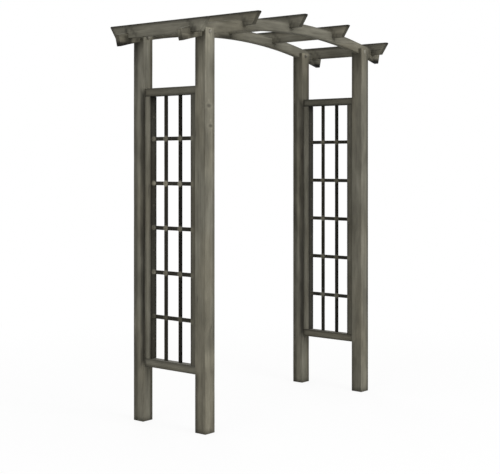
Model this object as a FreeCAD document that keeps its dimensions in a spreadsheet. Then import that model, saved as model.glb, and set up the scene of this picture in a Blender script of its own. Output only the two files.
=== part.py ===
import FreeCAD, Part
import math
import os
import re
import Sketcher

# A timber garden arch. Four square posts stand in two pairs, one pair each side of the walk.
# Two arched beams, one front and one back, sit in slots in the post tops and span the walk.
# Five rafters lie across both beams. A trellis panel closes the gap between the two posts of
# each pair. X runs across the walk, Y along it (front is -Y), Z is up, and the ground is Z = 0.

doc = FreeCAD.newDocument("garden_arch")

SIZES = [
    ("post_side", 70, "side of each square post"),
    ("post_height", 2010, "height of each post"),
    ("walk_width", 1280, "clear width between the left and right posts"),
    ("panel_depth", 366, "clear distance between the front and back posts of a side"),
    ("arch_radius", 3340, "radius of the curved underside of an arched beam"),
    ("arch_depth", 60, "depth of an arched beam, square to its curve"),
    ("arch_thickness", 30, "thickness of an arched beam"),
    ("beam_tail", 66, "centre of the end rafter to the lower corner of a beam end"),
    ("slot_depth", 35.9, "how far a beam's underside sits below the post top, at mid post"),
    ("slot_gap", 0.2, "clearance of a beam in the slot of a post"),
    ("rafter_pitch", 391, "spacing of the rafters"),
    ("rafter_thickness", 30, "thickness of a rafter"),
    ("rafter_depth", 69, "depth of a rafter"),
    ("rafter_reach", 342, "centre line to the top corner of a rafter end"),
    ("rafter_end_cut", 46, "how far the slant cut runs back at the underside of a rafter"),
    ("rafter_stand", 37, "height of a rafter's top above the beam that carries it"),
    ("seat_depth", 8, "depth of the level seat cut in a beam under a rafter"),
    ("seat_gap", 0.2, "clearance on each side of a rafter or beam where they cross"),
    ("frame_width", 42, "face width of the stiles and rails"),
    ("frame_thickness", 45, "thickness of the stiles and rails"),
    ("panel_bottom", 286, "height of the underside of a trellis panel"),
    ("panel_height", 1439, "height of a trellis panel"),
    ("tenon_length", 20, "length of a stile tenon"),
    ("tenon_thickness", 15, "thickness of a stile tenon"),
    ("tenon_width", 26, "width of a stile tenon"),
    ("joint_gap", 0.2, "clearance around tenons, housed slat ends and half laps"),
    ("end_gap", 0.5, "clearance beyond the end of a tenon or housed slat"),
    ("slat_width", 20, "face width of a slat"),
    ("slat_thickness", 10, "thickness of a slat"),
    ("slat_housing", 12, "how far a slat end goes into the frame"),
    ("bolt_radius", 5, "shank radius of a carriage bolt"),
    ("bolt_rise", 17, "bolt centre above a beam's underside, at mid post"),
    ("bolt_spare", 4, "thread that shows beyond a nut"),
    ("bolt_head_radius", 11.5, "radius of a domed bolt head"),
    ("bolt_head_height", 5, "height of a domed bolt head"),
    ("washer_radius", 11, "outer radius of a washer"),
    ("washer_thickness", 2, "thickness of a washer"),
    ("nut_corner_radius", 9.8, "centre to corner of a hexagon nut"),
    ("nut_height", 8, "height of a nut"),
    ("thread_gap", 0.1, "clearance between a bolt and its nut or washer"),
    ("hole_gap", 0.3, "clearance between a bolt and the timber"),
    ("long_screw_radius", 3, "shank radius of a rafter screw"),
    ("long_screw_length", 85, "length of a rafter screw"),
    ("long_screw_head", 6, "head radius of a rafter screw"),
    ("frame_screw_radius", 2.5, "shank radius of a panel screw"),
    ("frame_screw_length", 75, "length of a panel screw"),
    ("frame_screw_head", 5, "head radius of a panel screw"),
    ("screw_head_height", 4, "height of a countersunk screw head"),
    ("screw_point", 8, "length of a screw's point"),
    ("screw_tip_radius", 0.3, "radius left at the tip of that point"),
    ("screw_gap", 0.15, "clearance between a screw or pin and its hole"),
    ("pin_radius", 0.9, "shank radius of a slat pin"),
    ("pin_length", 9, "length of a slat pin"),
    ("pin_head_radius", 2.2, "head radius of a slat pin"),
    ("pin_head_height", 0.8, "height of a slat pin's head"),
]

sheet = doc.addObject("Spreadsheet::Sheet", "sizes")
for row, (alias, value, note) in enumerate(SIZES, 1):
    sheet.set(f"A{row}", alias)
    sheet.set(f"B{row}", str(value))
    sheet.setAlias(f"B{row}", alias)
    sheet.set(f"C{row}", note)
doc.recompute()

CROSS_SLATS = 5
SCREWED_LIGHTS = (0, 2, 3, 5)

# Places that several pieces share, written once in terms of the sizes. A light is one opening of
# a trellis panel: two upright slats make three lights across, and the cross slats one more than
# their number up the panel.
PLACES = {
    "post_x": "(walk_width + post_side) / 2",
    "post_y": "(panel_depth + post_side) / 2",
    "arch_seat": "post_height - slot_depth",
    "arch_centre": "arch_seat - sqrt(arch_radius ^ 2 - post_x ^ 2)",
    "arch_reach": "2 * rafter_pitch + beam_tail",
    "arch_outer_radius": "arch_radius + arch_depth",
    "bolt_height": "arch_seat + bolt_rise",
    "panel_middle": "panel_bottom + panel_height / 2",
    "stile_length": "panel_height - 2 * frame_width",
    "stile_span": "panel_depth - 2 * frame_width",
    "light_width": "(stile_span - 2 * slat_width) / 3",
    "light_height": f"(stile_length - {CROSS_SLATS} * slat_width) / {CROSS_SLATS + 1}",
    "first_slat_height": "panel_bottom + frame_width + light_height + slat_width / 2",
    "slat_step": "light_height + slat_width",
    "upright_y": "(light_width + slat_width) / 2",
    "stile_y": "(panel_depth - frame_width) / 2",
}
ALIASES = {alias for alias, value, note in SIZES}


def formula(text):
    """Write a formula of sizes and places out in full for setExpression."""
    def word(match):
        name = match.group()
        if name in PLACES:
            return "(" + formula(PLACES[name]) + ")"
        return "sizes." + name if name in ALIASES else name
    return re.sub(r"[a-z][a-z_]*", word, str(text))


def value_of(text):
    """The value that a formula has now, for a sketch's first shape."""
    return float(sheet.evalExpression(formula(text)))


def bind(item, properties):
    for name, text in properties.items():
        item.setExpression(name, formula(text))


def locate(item, point, rotation=None):
    """Turn an object by a fixed rotation and bind its position to formulas."""
    if rotation is not None:
        item.Placement = FreeCAD.Placement(FreeCAD.Vector(), rotation)
    bind(item, dict(zip(("Placement.Base.x", "Placement.Base.y", "Placement.Base.z"), point)))


def block(name, centre, size):
    """A box given by the formulas of its centre and its three sizes."""
    box = doc.addObject("Part::Box", name)
    bind(box, dict(zip(("Length", "Width", "Height"), size)))
    locate(box, [f"({middle}) - ({length}) / 2" for middle, length in zip(centre, size)])
    return box


UPRIGHT = FreeCAD.Rotation()
UPWARD = FreeCAD.Rotation(FreeCAD.Vector(1, 0, 0), 180)
TO_BACK = FreeCAD.Rotation(FreeCAD.Vector(1, 0, 0), 90)
TO_FRONT = FreeCAD.Rotation(FreeCAD.Vector(1, 0, 0), -90)
TO_RIGHT = FreeCAD.Rotation(FreeCAD.Vector(0, 1, 0), -90)
TO_LEFT = FreeCAD.Rotation(FreeCAD.Vector(0, 1, 0), 90)


def rod(name, radius, length, point=(0, 0, 0), rotation=UPRIGHT):
    """A cylinder that runs down from its point, or the way its rotation turns that."""
    cylinder = doc.addObject("Part::Cylinder", name)
    bind(cylinder, {"Radius": radius, "Height": length})
    locate(cylinder, point, rotation.multiply(UPWARD))
    return cylinder


def cut(name, base, tools):
    piece = doc.addObject("Part::Cut", name)
    piece.Base = base
    if len(tools) == 1:
        piece.Tool = tools[0]
    else:
        piece.Tool = doc.addObject("Part::MultiFuse", name + "_tools")
        piece.Tool.Shapes = tools
    return piece


def fuse(name, shapes):
    piece = doc.addObject("Part::MultiFuse", name)
    piece.Shapes = shapes
    return piece


def place_copies(name, pattern, spots):
    """A group of separate solids: links to one pattern piece, each at its own spot."""
    group = doc.addObject("Part::Compound", name)
    links = []
    for number, (point, rotation) in enumerate(spots, 1):
        link = doc.addObject("App::Link", f"{name}_{number}")
        link.LinkedObject = pattern
        locate(link, point, rotation)
        links.append(link)
    group.Links = links
    return group


def new_sketch(body, plane):
    sketch = body.newObject("Sketcher::SketchObject", body.Name + "_outline")
    origin_plane = [feature for feature in body.Origin.OriginFeatures if feature.Role == plane][0]
    sketch.AttachmentSupport = [(origin_plane, "")]
    sketch.MapMode = "FlatFace"
    return sketch


def hold(sketch, kind, where, text):
    """Add one sketch dimension and bind it to a formula."""
    index = sketch.addConstraint(Sketcher.Constraint(kind, *where, value_of(text)))
    sketch.setExpression(f"Constraints[{index}]", formula(text))


def hold_point(sketch, edge, end, across, up):
    """Fix one end of a sketch edge at formulas for its two coordinates."""
    hold(sketch, "DistanceX", (-1, 1, edge, end), across)
    hold(sketch, "DistanceY", (-1, 1, edge, end), up)


def pad_both_ways(body, sketch, thickness):
    pad = body.newObject("PartDesign::Pad", body.Name + "_pad")
    pad.Profile = sketch
    pad.SideType = "Symmetric"
    bind(pad, {"Length": thickness})
    sketch.Visibility = False
    return pad


SIDES = (("left", "-1"), ("right", "1"))
ENDS = (("front", "-1"), ("back", "1"))
RAFTERS = (("left_end", -2), ("left", -1), ("middle", 0), ("right", 1), ("right_end", 2))
nodes = []


def keep(piece, label):
    """Name a finished sub-part."""
    piece.Label = label
    nodes.append(piece)
    return piece


# Pattern fasteners. Each is built once, point down, and the groups below place copies of it.

def countersunk_screw(name, radius, length, head):
    flare = doc.addObject("Part::Cone", name + "_head")
    bind(flare, {"Radius1": radius, "Radius2": head, "Height": "screw_head_height"})
    locate(flare, (0, 0, "-screw_head_height"))
    shank = rod(name + "_shank", radius, f"{length} - screw_point")
    point = doc.addObject("Part::Cone", name + "_point")
    bind(point, {"Radius1": "screw_tip_radius", "Radius2": radius, "Height": "screw_point"})
    locate(point, (0, 0, f"-{length}"))
    return fuse(name, [flare, shank, point])


def screw_hole(name, radius, length, head, point, rotation):
    """The countersunk hole for that screw, a named clearance larger all round."""
    flare = doc.addObject("Part::Cone", name + "_flare")
    bind(flare, {"Radius1": f"{radius} + screw_gap", "Radius2": f"{head} + screw_gap"})
    bind(flare, {"Height": "screw_head_height"})
    locate(flare, (0, 0, "-screw_head_height"))
    bore = rod(name + "_bore", f"{radius} + screw_gap", f"{length} + end_gap")
    hole = fuse(name, [flare, bore])
    locate(hole, point, rotation)
    return hole


RAFTER_SCREW = ("long_screw_radius", "long_screw_length", "long_screw_head")
PANEL_SCREW = ("frame_screw_radius", "frame_screw_length", "frame_screw_head")
rafter_screw = countersunk_screw("rafter_screw", *RAFTER_SCREW)
panel_screw = countersunk_screw("panel_screw", *PANEL_SCREW)

pin_head = rod("pin_head", "pin_head_radius", "pin_head_height", (0, 0, "pin_head_height"))
slat_pin = fuse("slat_pin", [rod("pin_shank", "pin_radius", "pin_length"), pin_head])

# A carriage bolt's head is a low dome, so it is the cap of a larger ball.
DOME = "((bolt_head_radius ^ 2 + bolt_head_height ^ 2) / (2 * bolt_head_height))"
dome = doc.addObject("Part::Sphere", "bolt_dome")
bind(dome, {"Radius": DOME, "Angle1": f"asin(({DOME} - bolt_head_height) / {DOME})"})
locate(dome, (0, 0, f"bolt_head_height - {DOME}"))
BOLT_LENGTH = "post_side + washer_thickness + nut_height + bolt_spare"
carriage_bolt = fuse("carriage_bolt", [dome, rod("bolt_shank", "bolt_radius", BOLT_LENGTH)])

washer = cut("washer", rod("washer_disc", "washer_radius", "washer_thickness"),
             [rod("washer_bore", "bolt_radius + thread_gap", "washer_thickness")])

hexagon = doc.addObject("Part::Prism", "nut_hexagon")
hexagon.Polygon = 6
bind(hexagon, {"Circumradius": "nut_corner_radius", "Height": "nut_height"})
locate(hexagon, (0, 0, "-nut_height"))
nut = cut("nut", hexagon, [rod("nut_bore", "bolt_radius + thread_gap", "nut_height")])


# Where the fasteners go: a point, and the way the fastener drives from it.

def way_in(end):
    return TO_BACK if end == "front" else TO_FRONT


def way_out(end):
    return TO_FRONT if end == "front" else TO_BACK


def bolt_spot(side, end, inset):
    """On a post's outer face at bolt height, or that far in from that face."""
    return (f"{side} * post_x", f"{end} * (post_y + post_side / 2 - ({inset}))", "bolt_height")


def light_height_at(number):
    return f"panel_bottom + frame_width + light_height / 2 + {number} * slat_step"


def stile_screw_spots(side, end_name, end):
    """On the stile's inner face, in the middle of some of the lights."""
    inner = f"{end} * (panel_depth / 2 - frame_width)"
    heights = [light_height_at(number) for number in SCREWED_LIGHTS]
    return [((f"{side} * post_x", inner, height), way_out(end_name)) for height in heights]


def rail_screw_spots(side, end):
    """On the outer edges of the bottom and top rails, in line with a stile."""
    spot = (f"{side} * post_x", f"{end} * stile_y")
    return [((*spot, "panel_bottom"), UPWARD), ((*spot, "panel_bottom + panel_height"), UPRIGHT)]


def rafter_top(number):
    """Top of a rafter, a set height above the curved beam at its centre line."""
    return (f"(arch_centre + sqrt(arch_outer_radius ^ 2 - ({number} * rafter_pitch) ^ 2)"
            " + rafter_stand)")


def rafter_screw_spots(number):
    return [((f"{number} * rafter_pitch", f"{end} * post_y", rafter_top(number)), UPRIGHT)
            for end_name, end in ENDS]


# Posts: square timber. The top is slotted along X to take the arched beam, and the slot's floor
# follows the beam's curved underside.

def make_post(side_name, side, end_name, end):
    name = f"post_{end_name}_{side_name}"
    centre = (f"{side} * post_x", f"{end} * post_y")
    stock = block(name + "_stock", (*centre, "post_height / 2"),
                  ("post_side", "post_side", "post_height"))
    slot_width = "arch_thickness + 2 * slot_gap"
    opening = block(name + "_slot_space", (*centre, "post_height"),
                    ("2 * post_side", slot_width, "4 * arch_depth"))
    floor = rod(name + "_slot_floor", "arch_radius - slot_gap", "2 * post_side",
                (0, f"{end} * post_y - post_side", "arch_centre"), TO_BACK)
    tools = [cut(name + "_slot", opening, [floor])]
    tools.append(rod(name + "_bolt_hole", "bolt_radius + hole_gap", "post_side",
                     bolt_spot(side, end, 0), way_in(end_name)))
    for number, (point, way) in enumerate(stile_screw_spots(side, end_name, end)):
        tools.append(screw_hole(f"{name}_screw_hole_{number}", *PANEL_SCREW, point, way))
    keep(cut(name, stock, tools), name)


for side_name, side in SIDES:
    for end_name, end in ENDS:
        make_post(side_name, side, end_name, end)


# Arched beams: board sawn to two concentric curves, with square-cut tails past the posts. Five
# level seats in the top edge take the rafters.

def make_arch(end_name, end):
    name = f"arch_beam_{end_name}"
    body = doc.addObject("PartDesign::Body", name + "_board")
    sketch = new_sketch(body, "XZ_Plane")
    centre = FreeCAD.Vector(0, value_of("arch_centre"), 0)
    lean = math.asin(value_of("arch_reach / arch_radius"))
    edges = []
    for radius in ("arch_radius", "arch_outer_radius"):
        circle = Part.Circle(centre, FreeCAD.Vector(0, 0, 1), value_of(radius))
        arc = Part.ArcOfCircle(circle, math.pi / 2 - lean, math.pi / 2 + lean)
        edge = sketch.addGeometry(arc)
        edges.append((edge, arc.StartPoint, arc.EndPoint))
        hold_point(sketch, edge, 3, 0, "arch_centre")
        hold(sketch, "Radius", (edge,), radius)
        corner = f"arch_reach * {radius} / arch_radius"
        hold(sketch, "DistanceX", (-1, 1, edge, 1), corner)
        hold(sketch, "DistanceX", (-1, 1, edge, 2), f"-({corner})")
    (under, *under_ends), (over, *over_ends) = edges
    for end_point, low, high in zip((1, 2), under_ends, over_ends):
        line = sketch.addGeometry(Part.LineSegment(low, high))
        sketch.addConstraint(Sketcher.Constraint("Coincident", line, 1, under, end_point))
        sketch.addConstraint(Sketcher.Constraint("Coincident", line, 2, over, end_point))
    pad_both_ways(body, sketch, "arch_thickness")
    locate(body, (0, f"{end} * post_y", 0))
    tools = []
    for rafter, number in RAFTERS:
        floor = f"{rafter_top(number)} - rafter_stand - seat_depth"
        tools.append(block(f"{name}_seat_{rafter}",
                           (f"{number} * rafter_pitch", f"{end} * post_y", f"{floor} + arch_depth"),
                           ("rafter_thickness + 2 * seat_gap", "2 * arch_thickness",
                            "2 * arch_depth")))
        for point, way in rafter_screw_spots(number):
            if point[1] == f"{end} * post_y":
                tools.append(screw_hole(f"{name}_screw_hole_{rafter}", *RAFTER_SCREW, point, way))
    for side_name, side in SIDES:
        tools.append(rod(f"{name}_bolt_hole_{side_name}", "bolt_radius + hole_gap", "post_side",
                         bolt_spot(side, end, 0), way_in(end_name)))
    keep(cut(name, body, tools), name)


for end_name, end in ENDS:
    make_arch(end_name, end)


# Rafters: straight timber with slant-cut ends, longer on top. A notch in the underside drops
# over each arched beam and rests on the level seat there.

def make_rafter(label, number):
    name = f"rafter_{label}"
    top = rafter_top(number)
    low = f"{top} - rafter_depth"
    seat = f"{top} - rafter_stand - seat_depth"
    notch_in = "post_y - arch_thickness / 2 - seat_gap"
    notch_out = "post_y + arch_thickness / 2 + seat_gap"
    foot = "rafter_reach - rafter_end_cut"
    half = [(notch_in, low), (notch_in, seat), (notch_out, seat), (notch_out, low), (foot, low),
            ("rafter_reach", top)]
    corners = half + [(f"-({across})", up) for across, up in reversed(half)]
    body = doc.addObject("PartDesign::Body", name + "_timber")
    sketch = new_sketch(body, "YZ_Plane")
    points = [FreeCAD.Vector(value_of(across), value_of(up), 0) for across, up in corners]
    count = len(points)
    for index, point in enumerate(points):
        sketch.addGeometry(Part.LineSegment(point, points[(index + 1) % count]))
    for index, (across, up) in enumerate(corners):
        following = (index + 1) % count
        sketch.addConstraint(Sketcher.Constraint("Coincident", index, 2, following, 1))
        hold_point(sketch, index, 1, across, up)
    pad_both_ways(body, sketch, "rafter_thickness")
    locate(body, (f"{number} * rafter_pitch", 0, 0))
    holes = [screw_hole(f"{name}_screw_hole_{index}", *RAFTER_SCREW, point, way)
             for index, (point, way) in enumerate(rafter_screw_spots(number))]
    keep(cut(name, body, holes), name)


for label, number in RAFTERS:
    make_rafter(label, number)


# Trellis panels: two rails run from post to post, and two stiles are tenoned between them. Two
# upright and five cross slats are half lapped where they cross and housed in the frame.

SLATS = range(1, CROSS_SLATS + 1)


def cross_slat_height(number):
    return f"first_slat_height + {number - 1} * slat_step"


def housing(name, centre, along):
    """The blind hole for a slat end; along is the slat's own direction, Y or Z."""
    deep = "2 * (slat_housing + end_gap)"
    wide = "slat_width + 2 * joint_gap"
    size = (deep, wide) if along == "Y" else (wide, deep)
    return block(name, centre, ("slat_thickness + 2 * joint_gap", *size))


def make_stile(side_name, side, end_name, end):
    name = f"{side_name}_stile_{end_name}"
    centre = (f"{side} * post_x", f"{end} * stile_y", "panel_middle")
    stock = block(name + "_stock", centre, ("frame_thickness", "frame_width", "stile_length"))
    tenons = block(name + "_tenons", centre,
                   ("tenon_thickness", "tenon_width", "stile_length + 2 * tenon_length"))
    inner = f"{end} * stile_span / 2"
    tools = [housing(f"{name}_housing_{number}",
                     (f"{side} * post_x", inner, cross_slat_height(number)), "Y")
             for number in SLATS]
    spots = stile_screw_spots(side, end_name, end) + rail_screw_spots(side, end)
    for number, (point, way) in enumerate(spots):
        tools.append(screw_hole(f"{name}_screw_hole_{number}", *PANEL_SCREW, point, way))
    keep(cut(name, fuse(name + "_timber", [stock, tenons]), tools), name)


def make_rail(side_name, side, row, height, inner_edge):
    name = f"{side_name}_{row}_rail"
    x = f"{side} * post_x"
    stock = block(name + "_stock", (x, 0, height), ("frame_thickness", "panel_depth", "frame_width"))
    tools = []
    for end_name, end in ENDS:
        tools.append(housing(f"{name}_housing_{end_name}", (x, f"{end} * upright_y", inner_edge), "Z"))
        tools.append(block(f"{name}_mortise_{end_name}", (x, f"{end} * stile_y", inner_edge),
                           ("tenon_thickness + 2 * joint_gap", "tenon_width + 2 * joint_gap",
                            "2 * (tenon_length + end_gap)")))
        for number, (point, way) in enumerate(rail_screw_spots(side, end)):
            if (row, number) in (("bottom", 0), ("top", 1)):
                tools.append(screw_hole(f"{name}_screw_hole_{end_name}", *PANEL_SCREW, point, way))
    keep(cut(name, stock, tools), name)


def make_upright_slat(side_name, side, end_name, end):
    """Lapped on its inner half, so that it shows whole from outside the arch."""
    name = f"{side_name}_upright_slat_{end_name}"
    x = f"{side} * post_x"
    y = f"{end} * upright_y"
    stock = block(name + "_stock", (x, y, "panel_middle"),
                  ("slat_thickness", "slat_width", "stile_length + 2 * slat_housing"))
    lap_x = f"{side} * (post_x - slat_thickness / 2)"
    tools = []
    for number in SLATS:
        tools.append(block(f"{name}_lap_{number}", (lap_x, y, cross_slat_height(number)),
                           ("slat_thickness + joint_gap", "2 * slat_width",
                            "slat_width + 2 * joint_gap")))
        tools.append(pin_hole(f"{name}_pin_hole_{number}", side, y, number))
    keep(cut(name, stock, tools), name)


def make_cross_slat(side_name, side, number):
    name = f"{side_name}_cross_slat_{number}"
    height = cross_slat_height(number)
    stock = block(name + "_stock", (f"{side} * post_x", 0, height),
                  ("slat_thickness", "stile_span + 2 * slat_housing", "slat_width"))
    lap_x = f"{side} * (post_x + slat_thickness / 2)"
    tools = []
    for end_name, end in ENDS:
        y = f"{end} * upright_y"
        tools.append(block(f"{name}_lap_{end_name}", (lap_x, y, height),
                           ("slat_thickness + joint_gap", "slat_width + 2 * joint_gap",
                            "2 * slat_width")))
        tools.append(pin_hole(f"{name}_pin_hole_{end_name}", side, y, number))
    keep(cut(name, stock, tools), name)


def pin_spot(side, y, number):
    return (f"{side} * (post_x + slat_thickness / 2)", y, cross_slat_height(number))


def pin_way(side):
    return TO_RIGHT if side == "-1" else TO_LEFT


def pin_hole(name, side, y, number):
    return rod(name, "pin_radius + screw_gap", "pin_length + end_gap", pin_spot(side, y, number),
               pin_way(side))


for side_name, side in SIDES:
    for end_name, end in ENDS:
        make_stile(side_name, side, end_name, end)
    make_rail(side_name, side, "bottom", "panel_bottom + frame_width / 2",
              "panel_bottom + frame_width")
    make_rail(side_name, side, "top", "panel_bottom + panel_height - frame_width / 2",
              "panel_bottom + panel_height - frame_width")
    for end_name, end in ENDS:
        make_upright_slat(side_name, side, end_name, end)
    for number in SLATS:
        make_cross_slat(side_name, side, number)


# Fasteners: one group for each kind.

corners = [(side_name, side, end_name, end) for side_name, side in SIDES for end_name, end in ENDS]

spots = [(bolt_spot(side, end, 0), way_in(end_name)) for side_name, side, end_name, end in corners]
keep(place_copies("arch_bolts", carriage_bolt, spots), "arch_bolts")

spots = [(bolt_spot(side, end, "post_side + washer_thickness"), way_out(end_name))
         for side_name, side, end_name, end in corners]
keep(place_copies("arch_bolt_washers", washer, spots), "arch_bolt_washers")

spots = [(bolt_spot(side, end, "post_side + washer_thickness + nut_height"), way_out(end_name))
         for side_name, side, end_name, end in corners]
keep(place_copies("arch_bolt_nuts", nut, spots), "arch_bolt_nuts")

spots = [spot for label, number in RAFTERS for spot in rafter_screw_spots(number)]
keep(place_copies("rafter_screws", rafter_screw, spots), "rafter_screws")

spots = [spot for side_name, side, end_name, end in corners
         for spot in stile_screw_spots(side, end_name, end)]
keep(place_copies("stile_screws", panel_screw, spots), "stile_screws")

spots = [spot for side_name, side, end_name, end in corners
         for spot in rail_screw_spots(side, end)]
keep(place_copies("rail_screws", panel_screw, spots), "rail_screws")

spots = [(pin_spot(side, f"{end} * upright_y", number), pin_way(side))
         for side_name, side, end_name, end in corners for number in SLATS]
keep(place_copies("slat_pins", slat_pin, spots), "slat_pins")


# Check the document, then write each sub-part to a file of its own.

doc.recompute()
for item in doc.Objects:
    if "Invalid" in item.State or "Error" in item.State:
        raise RuntimeError(f"{item.Name} failed to rebuild: {item.State}")
for piece in nodes:
    if piece.Shape.isNull() or not piece.Shape.isValid():
        raise RuntimeError(f"{piece.Label} has no valid shape")

os.makedirs("parts", exist_ok=True)
for piece in nodes:
    piece.Shape.exportStep(f"parts/{piece.Label}.step")
    print(piece.Label, "solids", len(piece.Shape.Solids), "volume", round(piece.Shape.Volume))
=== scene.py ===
import math
import random

import bmesh
import bpy
from mathutils import Matrix, Vector, noise


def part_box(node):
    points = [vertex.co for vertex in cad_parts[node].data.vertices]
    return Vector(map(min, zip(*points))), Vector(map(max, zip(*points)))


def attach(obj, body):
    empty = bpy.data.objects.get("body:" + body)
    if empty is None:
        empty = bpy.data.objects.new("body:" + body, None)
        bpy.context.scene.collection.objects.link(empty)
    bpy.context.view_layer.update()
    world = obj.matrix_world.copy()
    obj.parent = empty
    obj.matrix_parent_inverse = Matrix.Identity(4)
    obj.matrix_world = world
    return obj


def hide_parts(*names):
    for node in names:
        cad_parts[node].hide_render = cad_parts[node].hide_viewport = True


# A timber garden arch: four square posts, two arched beams, five rafters and two trellis panels,
# bolted and screwed together. The timber is softwood with a grey-brown stain, weathered outdoors.
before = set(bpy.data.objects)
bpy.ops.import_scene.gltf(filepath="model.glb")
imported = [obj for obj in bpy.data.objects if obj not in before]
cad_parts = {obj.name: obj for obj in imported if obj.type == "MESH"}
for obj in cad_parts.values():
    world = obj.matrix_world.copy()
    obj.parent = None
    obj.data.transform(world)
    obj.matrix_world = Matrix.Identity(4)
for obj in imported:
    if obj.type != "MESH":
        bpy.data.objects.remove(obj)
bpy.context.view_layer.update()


# ---------------------------------------------------------------------------------------------
# Posts. Four lengths of planed square softwood, stood on their sawn ends. Each is slotted at the
# top to take an arched beam. The stain has weathered in streaks, and the long edges are eased.
# ---------------------------------------------------------------------------------------------

X, Y, Z = 0, 1, 2          # across the walkway, from front to back, and up
SAME_POINT = 1e-6          # corners closer than this are one corner
SAME_FACE = 0.002          # facets that lean apart by less than this are one flat face
CREASE = 0.6               # faces that lean apart by more than this meet in a sharp edge
EASED_EDGE = 0.0022        # how far a planed edge is taken off
EASING_STEPS = 3           # flats that make up an eased edge
TIP_STEPS = 5              # flats that make up a rounded tip
TIP_REACH = 1.05           # how far back the rounding reaches, for each length it is blunted
JOINT_FACE = 0.0008        # faces smaller than this, in square metres, are joint cuts and stay crisp
CUTS_ACROSS = 3            # a face is cut into this many strips, so that it can be uneven
UNEVEN = 0.0004            # how far a weathered face sinks here and there
HOLLOWS_ALONG = 1.6        # how close those hollows lie along the grain
HOLLOWS_ACROSS = 14.0      # and across it
ON_AN_EDGE = 1.02          # a corner whose faces lean apart at least this much lies on an edge
CHIPPED = 0.0009           # how far an edge is worn away at the worst
CHIPS = 5.0                # chips for each hollow
UNCHIPPED = 0.1            # how much of the chips' noise leaves the edge whole


def work_timber(node, grain, eased=EASED_EDGE, joint_face=JOINT_FACE, step=0.035,
                blunted=0.0):
    """Remake a sawn solid as worked timber: eased edges, crisp joints, slightly uneven faces.

    joint_face: faces smaller than this are joint cuts. step: from one cut across the grain to
    the next. blunted: how far back from its sharp tips a piece with slanting ends, centred in
    the arch, starts to be rounded."""
    low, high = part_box(node)
    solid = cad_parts[node].data
    timber = bmesh.new()
    corners = [timber.verts.new(corner.co) for corner in solid.vertices]
    for facet in solid.polygons:
        timber.faces.new([corners[index] for index in facet.vertices])
    bmesh.ops.remove_doubles(timber, verts=timber.verts, dist=SAME_POINT)
    bmesh.ops.dissolve_limit(timber, angle_limit=SAME_FACE, verts=timber.verts,
                             edges=timber.edges)
    timber.normal_update()

    def at_tip(edge, back):
        """Whether an edge lies no further than this back from the tip of a slanting end."""
        return blunted and all(abs(corner.co[grain]) > high[grain] - back for corner in edge.verts)

    tips = [edge for edge in timber.edges if at_tip(edge, back=1e-4)]
    bmesh.ops.bevel(timber, geom=tips, affect="EDGES", offset=blunted, offset_type="OFFSET",
                    segments=TIP_STEPS, profile=0.5, clamp_overlap=False)
    timber.normal_update()
    planed = [edge for edge in timber.edges
              if edge.is_manifold and edge.is_convex and edge.calc_face_angle() > CREASE
              and (min(face.calc_area() for face in edge.link_faces) > joint_face
                   or at_tip(edge, back=TIP_REACH * blunted))]
    bmesh.ops.bevel(timber, geom=planed, affect="EDGES", offset=eased, offset_type="OFFSET",
                    segments=EASING_STEPS, profile=0.5, clamp_overlap=False)

    # Cuts right through the piece, for the faces to be uneven along.
    for axis in (X, Y, Z):
        length = high[axis] - low[axis]
        cuts = round(length / step) if axis == grain else CUTS_ACROSS
        across = Vector((axis == X, axis == Y, axis == Z))
        for cut in range(1, cuts):
            everything = timber.verts[:] + timber.edges[:] + timber.faces[:]
            bmesh.ops.bisect_plane(timber, geom=everything, dist=SAME_POINT,
                                   plane_co=low + across * length * cut / cuts, plane_no=across)
    timber.normal_update()

    # Hollows all over, set apart by the first letters of the piece's name, and chips where its
    # edges are. Nothing grows past its box.
    stretch = Vector([HOLLOWS_ALONG if axis == grain else HOLLOWS_ACROSS for axis in (X, Y, Z)])
    offset = Vector([17.3 * ord(letter) % 29 for letter in node[:3]])
    for corner in timber.verts:
        spot = corner.co * stretch + offset
        sunk = UNEVEN * (0.5 + 0.5 * noise.noise(spot))
        if corner.calc_shell_factor() > ON_AN_EDGE:
            sunk += CHIPPED * max(0.0, noise.noise(spot * CHIPS) - UNCHIPPED)
        corner.co -= corner.normal * sunk
        corner.co = [min(max(at, low[axis]), high[axis]) for axis, at in enumerate(corner.co)]
    mesh = bpy.data.meshes.new(node + "_worked")
    timber.to_mesh(mesh)
    timber.free()
    mesh.shade_smooth()
    mesh.set_sharp_from_angle(angle=CREASE)
    piece = bpy.data.objects.new(node + "_worked", mesh)
    bpy.context.scene.collection.objects.link(piece)
    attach(piece, "root")
    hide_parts(node)
    return piece


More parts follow.
